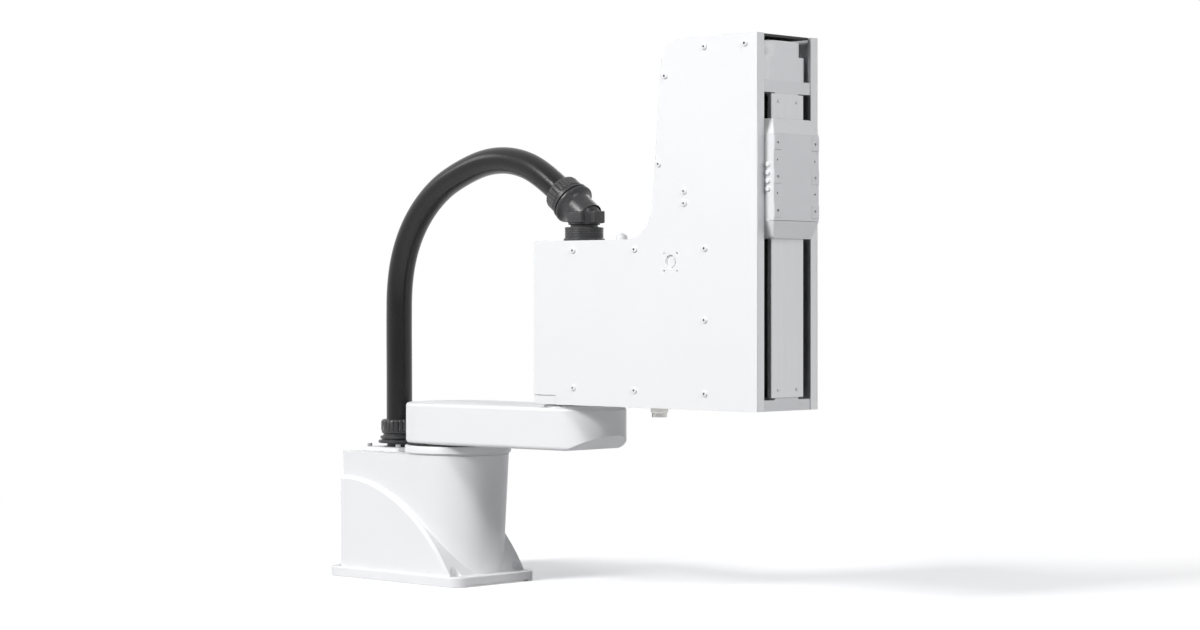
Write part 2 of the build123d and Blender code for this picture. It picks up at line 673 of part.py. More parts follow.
def connector_blank():
    """Square blanking plate behind the port, with a shallow ring."""
    x = FRONT - PORT_BEHIND
    outline = Pos(x, PORT_HEIGHT) * RectangleRounded(BLANK_SIDE, BLANK_SIDE, 4)
    plate = side_view(outline, -HOUSING_HALF, -HOUSING_HALF + BLANK_THICK)
    groove = Pos(x, PORT_HEIGHT) * (Circle(BLANK_RING_RADIUS) - Circle(BLANK_RING_RADIUS - 1.5))
    plate -= side_view(groove, -HOUSING_HALF - 1, -HOUSING_HALF + 1)
    for hole_x, hole_z in port_screw_places():
        plate -= rod_y(PORT_SCREW_RADIUS, -HOUSING_HALF - 1, -HOUSING_HALF + 2, hole_x, hole_z)
    return plate


def indicator_lamp():
    """Low dome on the box top."""
    body = rod(LAMP_RADIUS, BOX_TOP, BOX_TOP + LAMP_RIM, LAMP_X)
    dome = Pos(LAMP_X, 0, BOX_TOP + LAMP_RIM) * Sphere(LAMP_RADIUS)
    below = block((LAMP_X - 20, LAMP_X + 20), (-20, 20), (BOX_TOP - 20, BOX_TOP + LAMP_RIM))
    return body + (dome - below)


def user_port_gland():
    """Cable gland under the nose: knurled nut against the floor, collar below."""
    nut = rod(GLAND_RADIUS, ARM_2_BOTTOM - GLAND_NUT_HEIGHT, ARM_2_BOTTOM, GLAND_X)
    nut = chamfer(nut.edges().sort_by(Axis.Z)[0], 1.2)
    collar = rod(GLAND_RADIUS - 2, ARM_2_BOTTOM - GLAND_HEIGHT,
                 ARM_2_BOTTOM - GLAND_NUT_HEIGHT + 1, GLAND_X)
    return nut + collar - rod(GLAND_BORE_RADIUS, ARM_2_BOTTOM - GLAND_HEIGHT - 1,
                              ARM_2_BOTTOM + 1, GLAND_X)


def front_profile():
    """Extruded channel on the right of the module: web outside, a lip at the front and back."""
    outer = -HOUSING_HALF
    inner = -PROFILE_INNER_HALF
    bar = block((MODULE_BACK, FRONT), (outer, inner), (ARM_2_BOTTOM, COLUMN_TOP))
    bar -= block((MODULE_BACK + PROFILE_LIP, FRONT - PROFILE_LIP), (outer + PROFILE_WEB, inner + 1),
                 (ARM_2_BOTTOM - 1, COLUMN_TOP + 1))
    return bar


def module_back_plate():
    """Machined plate that carries the rails, between the end block and the motor bracket."""
    return block((MODULE_BACK, MODULE_BACK + PLATE_THICK), (-MODULE_HALF, MODULE_HALF),
                 (BLOCK_TOP, BRACKET_BOTTOM))


def guide_rails():
    """Two linear guide rails with a waist in their flanks."""
    rails = []
    back = MODULE_BACK + PLATE_THICK
    for y in (-RAIL_Y, RAIL_Y):
        rail = block((back, back + RAIL_HEIGHT), (y - RAIL_WIDTH / 2, y + RAIL_WIDTH / 2),
                     (BLOCK_TOP + RAIL_END_GAP, BRACKET_BOTTOM - RAIL_END_GAP))
        for side in (-1, 1):
            flank = y + side * RAIL_WIDTH / 2
            rail -= block((back + 4, back + 8), (flank - 1.2, flank + 1.2),
                          (BLOCK_TOP, BRACKET_BOTTOM))
        rails.append(rail)
    return group(rails)


def cover_lug(low, high):
    """Tongue behind the front cover that takes its screws."""
    face = FRONT - FRONT_COVER_THICK
    return block((face - LUG_THICK, face), (-LUG_HALF_WIDTH, LUG_HALF_WIDTH), (low, high))


def z_lower_end_block():
    """End block with the lower bearing seat and a tongue for the front cover."""
    body = block((MODULE_BACK, MODULE_FACE), (-MODULE_HALF, MODULE_HALF), (ARM_2_BOTTOM, BLOCK_TOP))
    body += cover_lug(ARM_2_BOTTOM + 4, BLOCK_TOP + LUG_HEIGHT)
    body -= rod(BEARING_RADIUS + SEAT_GAP, BLOCK_TOP - BEARING_HEIGHT, BLOCK_TOP + 1, SCREW_X)
    return body - rod(JOURNAL_RADIUS + 1, BLOCK_TOP - BEARING_HEIGHT - 3, BLOCK_TOP, SCREW_X)


def z_motor_bracket():
    """Top block with the upper bearing seat, the motor's floor and a tongue for the cover."""
    body = block((MODULE_BACK, MODULE_FACE), (-MODULE_HALF, MODULE_HALF),
                 (BRACKET_BOTTOM, BRACKET_TOP))
    body += cover_lug(BRACKET_BOTTOM - LUG_HEIGHT, BRACKET_TOP - 4)
    body -= rod(BEARING_RADIUS + SEAT_GAP, BRACKET_BOTTOM - 1, BRACKET_BOTTOM + BEARING_HEIGHT,
                SCREW_X)
    return body - rod(JOURNAL_RADIUS + 1, BRACKET_BOTTOM, BRACKET_TOP + 1, SCREW_X)


def screw_bearing(low):
    return ring(BEARING_RADIUS, JOURNAL_RADIUS + RUNNING_GAP, low, low + BEARING_HEIGHT, SCREW_X)


def z_lower_bearing():
    return screw_bearing(BLOCK_TOP - BEARING_HEIGHT)


def z_upper_bearing():
    return screw_bearing(BRACKET_BOTTOM)


def z_end_buffers():
    """Rubber buttons that meet the carriage at each end of its travel."""
    buttons = []
    x = FRONT - BUFFER_BEHIND
    for y in (-BUFFER_Y, BUFFER_Y):
        buttons.append(rod(BUFFER_RADIUS, BLOCK_TOP, BLOCK_TOP + BUFFER_HEIGHT, x, y))
        buttons.append(rod(BUFFER_RADIUS, BRACKET_BOTTOM - BUFFER_HEIGHT, BRACKET_BOTTOM, x, y))
    return group(buttons)


def cover_height():
    return BLOCK_TOP + FRONT_COVER_LOW_GAP, BRACKET_BOTTOM - FRONT_COVER_HIGH_GAP


def z_front_cover():
    """Long channel-shaped cover over the screw, its edges turned back."""
    low, high = cover_height()
    back = FRONT - FRONT_COVER_RETURN
    skin = block((back, FRONT), (-FRONT_COVER_HALF, FRONT_COVER_HALF), (low, high))
    front_edges = skin.edges().filter_by(Axis.Z).sort_by(Axis.X)[-2:]
    skin = fillet(front_edges, FRONT_COVER_THICK * 0.9)
    inner = FRONT_COVER_HALF - FRONT_COVER_THICK
    return skin - block((back - 1, FRONT - FRONT_COVER_THICK), (-inner, inner), (low - 1, high + 1))


def front_cover_screws():
    """Two flat heads near each end of the front cover."""
    low, high = cover_height()
    heads = []
    for y in (-FRONT_SCREW_Y, FRONT_SCREW_Y):
        for z in (low + FRONT_SCREW_INSET, high - FRONT_SCREW_INSET):
            head = rod_x(FRONT_SCREW_RADIUS, FRONT, FRONT + FRONT_SCREW_HEIGHT, y, z)
            heads.append(fillet(head.edges().sort_by(Axis.X)[-1], 0.8))
    return group(heads)


def z_motor():
    """Flat servo motor on the bracket; the screw's journal ends inside it."""
    body = plan(Pos(SCREW_X, 0) * RectangleRounded(Z_MOTOR_SIDE, Z_MOTOR_SIDE, 6), BRACKET_TOP,
                BRACKET_TOP + Z_MOTOR_HEIGHT)
    return body - rod(JOURNAL_RADIUS + RUNNING_GAP, BRACKET_TOP - 1,
                      BRACKET_TOP + JOURNAL_IN_MOTOR + 1, SCREW_X)


def motor_cover_block(half_width, depth, low, high, shrink=0.0):
    """Upright block with two rounded front corners."""
    face = FRONT - MOTOR_COVER_INSET - shrink
    body = block((face - depth + 2 * shrink, face), (-half_width + shrink, half_width - shrink),
                 (low, high))
    front_edges = body.edges().filter_by(Axis.Z).sort_by(Axis.X)[-2:]
    return fillet(front_edges, MOTOR_COVER_ROUND - shrink)


def z_motor_cover():
    """Moulded cover over the motor: a wide skirt under a narrower cap."""
    middle = BRACKET_TOP + MOTOR_COVER_HEIGHT
    top = middle + MOTOR_CAP_HEIGHT
    outer = motor_cover_block(MOTOR_COVER_HALF, MOTOR_COVER_DEPTH, BRACKET_TOP, middle)
    outer += motor_cover_block(MOTOR_CAP_HALF, MOTOR_COVER_DEPTH, middle - 1, top)
    outer = fillet(outer.faces().sort_by(Axis.Z)[-1].edges(), 3.0)
    wall = MOTOR_COVER_WALL
    inner = motor_cover_block(MOTOR_COVER_HALF, MOTOR_COVER_DEPTH, BRACKET_TOP - 1,
                              middle - wall, wall)
    inner += motor_cover_block(MOTOR_CAP_HALF, MOTOR_COVER_DEPTH, middle - wall - 1,
                               top - wall, wall)
    return outer - inner


def module_top_cap():
    """Black plate that closes the top between the two profiles."""
    return block((MODULE_BACK, FRONT - PROFILE_LIP), (-MODULE_HALF, MODULE_HALF),
                 (COLUMN_TOP - TOP_CAP_THICK, COLUMN_TOP))


def ball_screw():
    """Ground screw with a journal at each end."""
    shaft = rod(SCREW_RADIUS, BLOCK_TOP + RAIL_END_GAP, BRACKET_BOTTOM - RAIL_END_GAP, SCREW_X)
    journals = rod(JOURNAL_RADIUS, BLOCK_TOP - BEARING_HEIGHT - 2, BRACKET_TOP + JOURNAL_IN_MOTOR,
                   SCREW_X)
    return shaft + journals


def carriage_front_outline():
    """Seen from the front: straight flanks, narrowing at the top and bottom."""
    half = CARRIAGE_HALF
    narrow = CARRIAGE_HALF - SLOPE_BACK
    shoulder_top = CARRIAGE_TOP - TOP_SLOPE
    shoulder_low = CARRIAGE_BOTTOM + BOTTOM_SLOPE
    outline = polygon((-narrow, CARRIAGE_BOTTOM), (narrow, CARRIAGE_BOTTOM), (half, shoulder_low),
                      (half, shoulder_top), (narrow, CARRIAGE_TOP), (-narrow, CARRIAGE_TOP),
                      (-half, shoulder_top), (-half, shoulder_low))
    for side in (-1, 1):
        for z in (CARRIAGE_BOTTOM, CARRIAGE_TOP):
            outline = rounded_at(outline, (side * narrow, z), CARRIAGE_ROUND)
    return outline


def carriage_side_outline():
    """Seen from the side: the front leans back above and below the tool plate."""
    back = FRONT - CARRIAGE_BACK_BEHIND
    lean = TOOL_FACE - SLOPE_BACK
    return polygon((back, CARRIAGE_BOTTOM), (lean, CARRIAGE_BOTTOM),
                   (TOOL_FACE, CARRIAGE_BOTTOM + BOTTOM_SLOPE),
                   (TOOL_FACE, CARRIAGE_TOP - TOP_SLOPE), (lean, CARRIAGE_TOP), (back, CARRIAGE_TOP))


def plate_heights():
    return CARRIAGE_BOTTOM + BOTTOM_SLOPE, CARRIAGE_TOP - TOP_SLOPE


def nut_heights():
    """Bottom of the ball nut, bottom of its flange, top of its flange."""
    low = (CARRIAGE_BOTTOM + CARRIAGE_TOP) / 2 - NUT_LENGTH / 2
    return low, low + NUT_LENGTH, low + NUT_LENGTH + NUT_FLANGE_THICK


def carriage_body():
    """Casting behind the cover, joined by two cheeks to the bridge in front of it."""
    low, high = CARRIAGE_BOTTOM, CARRIAGE_TOP
    back = FRONT - CARRIAGE_BACK_BEHIND
    body = front_view(carriage_front_outline(), back, TOOL_FACE)
    body &= side_view(carriage_side_outline(), -CARRIAGE_HALF - 1, CARRIAGE_HALF + 1)
    body -= block((FRONT - CARRIAGE_CORE_BEHIND, FRONT + BRIDGE_GAP), (-WINDOW_HALF, WINDOW_HALF),
                  (low - 1, high + 1))
    plate_low, plate_high = plate_heights()
    body -= block((TOOL_FACE - TOOL_PLATE_THICK, TOOL_FACE + 1), (-CARRIAGE_HALF - 1, CARRIAGE_HALF + 1),
                  (plate_low, plate_high))
    nut_low, flange_low, _ = nut_heights()
    body -= rod(NUT_RADIUS + SEAT_GAP, low - 1, flange_low + 1, SCREW_X)
    return body - rod(NUT_FLANGE_RADIUS + SEAT_GAP, flange_low, high + 1, SCREW_X)


def ball_nut():
    """Flanged nut that runs on the screw."""
    low, flange_low, flange_high = nut_heights()
    nut = rod(NUT_RADIUS, low, flange_low + 1, SCREW_X)
    nut += rod(NUT_FLANGE_RADIUS, flange_low, flange_high, SCREW_X)
    return nut - rod(SCREW_RADIUS + RUNNING_GAP, low - 1, flange_high + 1, SCREW_X)


def guide_blocks():
    """Four guide blocks astride the rails, behind the carriage."""
    rail_back = MODULE_BACK + PLATE_THICK
    carriage_back = FRONT - CARRIAGE_BACK_BEHIND
    front = carriage_back
    back = rail_back + 3.0
    blocks = []
    for y in (-RAIL_Y, RAIL_Y):
        for low in (CARRIAGE_BOTTOM + 8, CARRIAGE_TOP - 8 - GUIDE_LENGTH):
            half = GUIDE_WIDTH / 2
            body = block((back, front), (y - half, y + half), (low, low + GUIDE_LENGTH))
            clear = RAIL_WIDTH / 2 + GUIDE_GAP
            body -= block((back - 1, rail_back + RAIL_HEIGHT + GUIDE_GAP), (y - clear, y + clear),
                          (low - 1, low + GUIDE_LENGTH + 1))
            blocks.append(body)
    return group(blocks)


def pad_places():
    """Centres of the six pads, as (y, z)."""
    return [(side * PAD_Y, PAD_CENTRE + row * PAD_PITCH) for side in (-1, 1) for row in (-1, 0, 1)]


def tool_plate():
    """Plate with six raised pads for tool bolts and four dowel holes."""
    low, high = plate_heights()
    back = TOOL_FACE - TOOL_PLATE_THICK
    plate = block((back, TOOL_FACE), (-CARRIAGE_HALF, CARRIAGE_HALF), (low + TOOL_PLATE_GAP, high))
    for y, z in pad_places():
        outline = Pos(y, z) * RectangleRounded(PAD_WIDTH, PAD_HEIGHT, 1.0)
        plate += front_view(outline, TOOL_FACE - 1, TOOL_FACE + PAD_PROUD)
    for y, z in pad_places():
        plate -= rod_x(PAD_HOLE_RADIUS, back - 1, TOOL_FACE + PAD_PROUD + 1, y, z)
    for side in (-1, 1):
        for offset_z in (-DOWEL_OFFSET, DOWEL_OFFSET):
            plate -= rod_x(DOWEL_RADIUS, TOOL_FACE - DOWEL_DEPTH, TOOL_FACE + 1, side * PAD_Y,
                           PAD_CENTRE + offset_z)
    return plate


def carriage_side_fittings():
    """Four small round caps in a column on the right flank."""
    caps = []
    x = FRONT + FITTING_AHEAD
    for number in range(4):
        z = PAD_CENTRE + (number - 1.5) * FITTING_PITCH
        cap = rod_y(FITTING_RADIUS, -CARRIAGE_HALF - FITTING_HEIGHT, -CARRIAGE_HALF, x, z)
        caps.append(fillet(cap.edges().sort_by(Axis.Y)[0], 1.2))
    return group(caps)


def hose_base_plate():
    """Square plate under the hose fitting."""
    outline = Pos(HOSE_BASE_X, 0) * RectangleRounded(HOSE_PLATE_SIDE, HOSE_PLATE_SIDE, 6)
    plate = plan(outline, BODY_TOP, BODY_TOP + HOSE_PLATE_THICK)
    return plate - rod(HOSE_HOLE_RADIUS, BODY_TOP - 1, BODY_TOP + HOSE_PLATE_THICK + 1, HOSE_BASE_X)


def hose_plate_screws():
    """Four socket heads at the plate's corners."""
    low = BODY_TOP + HOSE_PLATE_THICK
    heads = []
    for a in (-1, 1):
        for b in (-1, 1):
            x = HOSE_BASE_X + a * HOSE_SCREW_OFFSET
            y = b * HOSE_SCREW_OFFSET
            head = rod(HOSE_SCREW_RADIUS, low, low + HOSE_SCREW_HEIGHT, x, y)
            socket = Pos(x, y) * RegularPolygon(2.2, 6)
            heads.append(head - plan(socket, low + 3, low + HOSE_SCREW_HEIGHT + 1))
    return group(heads)


def hose_base_fitting():
    """Straight fitting: stub, wide low ring and body under the nut."""
    stub, low_ring, body = HOSE_PLATE_STACK
    low = BODY_TOP + HOSE_PLATE_THICK
    fitting = rod(STUB_RADIUS, low, low + stub + 1, HOSE_BASE_X)
    fitting += rod(LOW_RING_RADIUS, low + stub, low + stub + low_ring, HOSE_BASE_X)
    return fitting + rod(FITTING_BODY_RADIUS, low + stub + low_ring - 1,
                         low + stub + low_ring + body, HOSE_BASE_X)


def knurled_nut(length):
    """Ribbed hose nut standing on z 0."""
    nut = rod(HOSE_NUT_RADIUS, 0, length)
    nut = chamfer(nut.edges().filter_by(GeomType.CIRCLE), 2.5)
    groove = rod(2.0, 3, length - 3, HOSE_NUT_RADIUS + 1.0)
    for number in range(HOSE_NUT_RIBS):
        nut -= Rot(0, 0, number * 360 / HOSE_NUT_RIBS) * groove
    return nut


def hose_base_nut():
    low = BODY_TOP + HOSE_PLATE_THICK + sum(HOSE_PLATE_STACK)
    return Pos(HOSE_BASE_X, 0, low) * knurled_nut(HOSE_START_HEIGHT - low)


def hose_top_flange():
    """Flange and socket ring on the box top that the elbow swivels in."""
    ring_low = BOX_TOP + TOP_FLANGE_THICK
    ring_high = ring_low + TOP_RING_HEIGHT
    flange = rod(TOP_FLANGE_RADIUS, BOX_TOP, ring_low, ARM_1_REACH)
    flange += rod(TOP_RING_RADIUS, ring_low - 1, ring_high, ARM_1_REACH)
    flange -= rod(HOSE_HOLE_RADIUS, BOX_TOP - 1, ring_high, ARM_1_REACH)
    return flange - rod(NECK_RADIUS + RUNNING_GAP, ring_low, ring_high + 1, ARM_1_REACH)


def elbow_frame():
    """Plane at the elbow's centre whose normal points up the hose."""
    return Plane(origin=(ARM_1_REACH, 0, ELBOW_CENTRE_HEIGHT), x_dir=(0, 1, 0), z_dir=ELBOW_WAY)


def along_elbow(shape):
    return elbow_frame() * shape


def hose_elbow():
    """Swivel neck, ball and slanted socket with two collar rings."""
    neck_low = BOX_TOP + TOP_FLANGE_THICK + NECK_GAP
    ring_high = BOX_TOP + TOP_FLANGE_THICK + TOP_RING_HEIGHT
    neck = rod(NECK_RADIUS, neck_low, ELBOW_CENTRE_HEIGHT, ARM_1_REACH)
    barrel = rod(ELBOW_BODY_RADIUS, ring_high + 6, ELBOW_CENTRE_HEIGHT, ARM_1_REACH)
    ball = Pos(ARM_1_REACH, 0, ELBOW_CENTRE_HEIGHT) * Sphere(ELBOW_BODY_RADIUS)
    first = ELBOW_RING_START
    second = first + ELBOW_RING_THICK + 3
    slant = rod(ELBOW_BODY_RADIUS, 0, first + 1) + rod(ELBOW_RING_RADIUS, first, first + ELBOW_RING_THICK)
    slant += rod(ELBOW_BODY_RADIUS + 2, first, second + 1)
    slant += rod(ELBOW_RING_RADIUS - 1, second, second + ELBOW_RING_THICK)
    return neck + barrel + ball + along_elbow(slant)


def elbow_key_wing():
    """Flat lug that locks the elbow's two halves, on the side away from the hose."""
    low = ELBOW_CENTRE_HEIGHT - 16
    x = ARM_1_REACH
    lug = block((x, x + WING_REACH), (-WING_HALF_WIDTH, WING_HALF_WIDTH), (low, low + WING_HEIGHT))
    lug = fillet(lug.edges().filter_by(Axis.Y), 2.0)
    return lug - rod(ELBOW_BODY_RADIUS + SEAT_GAP, low - 20, ELBOW_CENTRE_HEIGHT, x) - \
        Pos(x, 0, ELBOW_CENTRE_HEIGHT) * Sphere(ELBOW_BODY_RADIUS + SEAT_GAP)


def elbow_hose_nut():
    start = ELBOW_RING_START + 2 * ELBOW_RING_THICK + 3
    return along_elbow(Pos(0, 0, start) * knurled_nut(ELBOW_TO_HOSE - start))


def hose_points():
    """The route, ending square on the elbow nut's face."""
    end = Vector(ARM_1_REACH, 0, ELBOW_CENTRE_HEIGHT) + ELBOW_WAY * ELBOW_TO_HOSE
    return [Vector(x, 0, z) for x, z in HOSE_ROUTE] + [end + ELBOW_WAY * HOSE_LAST_RUN, end]


def hose_bend_radii():
    """Largest arc that the two runs at each point leave room for."""
    points = hose_points()
    radii = []
    for before, here, after in zip(points, points[1:], points[2:]):
        shorter = min((here - before).length, (after - here).length)
        turn = (here - before).get_angle(after - here)
        radii.append(0.45 * shorter / math.tan(math.radians(turn) / 2))
    return radii


def conduit_hose():
    """Solid tube along straight runs joined by tangent arcs."""
    points = hose_points()
    radii = hose_bend_radii()
    print("hose bend radii", [round(radius) for radius in radii])
    path = FilletPolyline(*points, radius=radii)
    start = Plane(origin=path @ 0, z_dir=path % 0)
    hose = sweep(start * Circle(HOSE_RADIUS), path=path)
    print("hose length", round(path.length), "volume over section times length",
          round(hose.volume / (math.pi * HOSE_RADIUS ** 2 * path.length), 4))
    return hose


NODES = {
    "base_casting": base_casting,
    "base_rear_panel": base_rear_panel,
    "base_panel_screws": base_panel_screws,
    "base_connectors": base_connectors,
    "base_air_ports": base_air_ports,
    "j1_reducer_ring": lambda: at_first_axis(reducer_ring()),
    "j1_motor": lambda: at_first_axis(servo_motor(SHELF_THICK)),
    "j1_seal_ring": j1_seal_ring,
    "hose_base_plate": hose_base_plate,
    "hose_plate_screws": hose_plate_screws,
    "hose_base_fitting": hose_base_fitting,
    "hose_base_nut": hose_base_nut,
    "conduit_hose": conduit_hose,
    "j1_wave_generator": lambda: at_first_axis(wave_generator()),
    "j1_motor_shaft": lambda: at_first_axis(motor_shaft()),
    "arm_1_casting": arm_1_casting,
    "arm_1_under_cover": arm_1_under_cover,
    "arm_1_cover_screws": arm_1_cover_screws,
    "j1_output_flange": lambda: at_first_axis(output_flange()),
    "j1_flexspline": lambda: at_first_axis(flexspline()),
    "j2_output_flange": lambda: at_second_axis(output_flange()),
    "j2_flexspline": lambda: at_second_axis(flexspline()),
    "arm_2_casting": arm_2_casting,
    "right_side_cover": right_side_cover,
    "left_side_cover": lambda: mirrored(side_cover()),
    "right_cover_screws": right_cover_screws,
    "left_cover_screws": lambda: mirrored(right_cover_screws()),
    "connector_blank": connector_blank,
    "indicator_lamp": indicator_lamp,
    "user_port_gland": user_port_gland,
    "j2_reducer_ring": lambda: at_second_axis(reducer_ring()),
    "j2_motor": lambda: at_second_axis(servo_motor(FLOOR_THICK)),
    "hose_top_flange": hose_top_flange,
    "front_profile_right": front_profile,
    "front_profile_left": lambda: mirrored(front_profile()),
    "module_back_plate": module_back_plate,
    "module_top_cap": module_top_cap,
    "guide_rails": guide_rails,
    "z_lower_end_block": z_lower_end_block,
    "z_lower_bearing": z_lower_bearing,
    "z_motor_bracket": z_motor_bracket,
    "z_upper_bearing": z_upper_bearing,
    "z_end_buffers": z_end_buffers,
    "z_front_cover": z_front_cover,
    "front_cover_screws": front_cover_screws,
    "z_motor": z_motor,
    "z_motor_cover": z_motor_cover,
    "j2_wave_generator": lambda: at_second_axis(wave_generator()),
    "j2_motor_shaft": lambda: at_second_axis(motor_shaft()),
    "ball_screw": ball_screw,
    "carriage_body": carriage_body,
    "ball_nut": ball_nut,
    "guide_blocks": guide_blocks,
    "tool_plate": tool_plate,
    "carriage_side_fittings": carriage_side_fittings,
    "hose_elbow": hose_elbow,
    "elbow_key_wing": elbow_key_wing,
    "elbow_hose_nut": elbow_hose_nut,
}

os.makedirs("parts", exist_ok=True)
for name, make in NODES.items():
    export_step(make(), f"parts/{name}.step")
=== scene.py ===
import json
import math
import bmesh
import bpy
from mathutils import Matrix, Vector


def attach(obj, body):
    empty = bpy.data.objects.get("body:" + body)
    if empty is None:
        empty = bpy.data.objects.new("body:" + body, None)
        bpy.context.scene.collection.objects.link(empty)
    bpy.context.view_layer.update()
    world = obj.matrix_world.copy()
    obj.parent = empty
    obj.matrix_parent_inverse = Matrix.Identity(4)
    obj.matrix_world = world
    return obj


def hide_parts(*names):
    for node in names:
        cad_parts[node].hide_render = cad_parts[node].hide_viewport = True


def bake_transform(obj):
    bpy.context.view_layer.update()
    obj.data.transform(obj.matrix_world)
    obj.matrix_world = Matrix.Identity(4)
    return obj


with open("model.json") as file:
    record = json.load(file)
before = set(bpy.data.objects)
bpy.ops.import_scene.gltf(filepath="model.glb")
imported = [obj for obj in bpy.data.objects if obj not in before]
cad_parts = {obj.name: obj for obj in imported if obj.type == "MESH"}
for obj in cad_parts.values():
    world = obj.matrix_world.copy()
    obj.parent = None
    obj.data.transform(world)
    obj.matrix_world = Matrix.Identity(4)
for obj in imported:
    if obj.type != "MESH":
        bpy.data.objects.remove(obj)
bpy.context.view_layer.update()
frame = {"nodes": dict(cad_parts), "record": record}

# Metres. The origin is on the first axis at floor level, +X runs along the arms, +Z is up.
SECOND_AXIS = Vector((0.320, 0.0, 0.0))
FRONT = 0.781
SIDE_FACE = 0.0775
BOX_TOP = 0.615
HOSE_BASE_X = -0.159
HOSE_RADIUS = 0.024
ELBOW_CENTRE = Vector((0.320, 0.0, 0.663))
ELBOW_ANGLE = math.radians(36.0)
ELBOW_WAY = Vector((-math.cos(ELBOW_ANGLE), 0.0, math.sin(ELBOW_ANGLE)))
ELBOW_TO_HOSE = 0.0705
ELBOW_NUT_START = 0.042      # along the slanted socket, from the elbow's centre
BASE_NUT_BOTTOM = 0.264
BASE_NUT_LENGTH = 0.026
HOSE_ROUTE = [
    (-0.159, 0.290), (-0.159, 0.376), (-0.160, 0.462), (-0.159, 0.547), (-0.1405, 0.614),
    (-0.104, 0.671), (-0.050, 0.7175), (0.013, 0.746), (0.081, 0.765), (0.150, 0.763),
    (0.2144, 0.7397), (0.2630, 0.7044),
]


def new_material(name):
    material = bpy.data.materials.new(name)
    material.use_nodes = True
    tree = material.node_tree
    shader = [n for n in tree.nodes if n.type == "BSDF_PRINCIPLED"][0]
    return material, tree, shader


def add(tree, kind, inputs=None, **settings):
    """A node with its plain settings and its unlinked inputs."""
    node = tree.nodes.new(kind)
    for key, value in settings.items():
        setattr(node, key, value)
    for key, value in (inputs or {}).items():
        node.inputs[key].default_value = value
    return node


def object_points(tree, stretch=(1.0, 1.0, 1.0)):
    """Object coordinates, squeezed or stretched along each axis."""
    source = add(tree, "ShaderNodeTexCoord")
    mapping = add(tree, "ShaderNodeMapping", {"Scale": stretch})
    tree.links.new(source.outputs["Object"], mapping.inputs["Vector"])
    return mapping.outputs["Vector"]


def noise(tree, points, scale, detail=2.0, rough=0.5):
    texture = add(tree, "ShaderNodeTexNoise", {"Scale": scale, "Detail": detail, "Roughness": rough})
    tree.links.new(points, texture.inputs["Vector"])
    return texture.outputs["Fac"]


def spread(tree, value, low, high, at_low=0.3, at_high=0.7):
    """Maps a noise value to a range of numbers."""
    ramp = add(tree, "ShaderNodeMapRange", {"From Min": at_low, "From Max": at_high,
                                            "To Min": low, "To Max": high})
    tree.links.new(value, ramp.inputs["Value"])
    return ramp.outputs["Result"]


def tint(tree, value, dark, light):
    """Mixes two colours by a value from 0 to 1."""
    mix = add(tree, "ShaderNodeMix", data_type="RGBA")
    mix.inputs["A"].default_value = (*dark, 1.0)
    mix.inputs["B"].default_value = (*light, 1.0)
    tree.links.new(value, mix.inputs["Factor"])
    return mix.outputs["Result"]


def bump(tree, shader, value, depth, edge=0.0):
    """Fine relief, with edges softened by a small radius."""
    node = add(tree, "ShaderNodeBump", {"Strength": 1.0, "Distance": depth})
    tree.links.new(value, node.inputs["Height"])
    if edge:
        rounding = add(tree, "ShaderNodeBevel", {"Radius": edge}, samples=6)
        tree.links.new(rounding.outputs["Normal"], node.inputs["Normal"])
    tree.links.new(node.outputs["Normal"], shader.inputs["Normal"])


def shades(colour, below, above):
    return ([c * (1 - below) for c in colour], [min(1.0, c * (1 + above)) for c in colour])


def grained(name, colour, rough, grain, depth, edge=0.0008, metal=0.0, drift=0.03, spec=0.5,
            stretch=(1.0, 1.0, 1.0), rough_drift=0.05, coat=0.0):
    """A surface with a slow drift of tone, a fine grain in relief and uneven gloss."""
    material, tree, shader = new_material(name)
    points = object_points(tree, stretch)
    slow = noise(tree, points, 7.0, 3.0)
    fine = noise(tree, points, grain, 2.0, 0.6)
    dark, light = shades(colour, drift, drift)
    tone = add(tree, "ShaderNodeMath", {1: 0.5}, operation="MULTIPLY")
    both = add(tree, "ShaderNodeMath", operation="ADD")
    tree.links.new(slow, both.inputs[0])
    tree.links.new(fine, both.inputs[1])
    tree.links.new(both.outputs[0], tone.inputs[0])
    tree.links.new(tint(tree, spread(tree, tone.outputs[0], 0.0, 1.0), dark, light),
                   shader.inputs["Base Color"])
    tree.links.new(spread(tree, slow, rough - rough_drift, rough + rough_drift),
                   shader.inputs["Roughness"])
    bump(tree, shader, fine, depth, edge)
    shader.inputs["Metallic"].default_value = metal
    shader.inputs["Specular IOR Level"].default_value = spec
    shader.inputs["Coat Weight"].default_value = coat
    return material


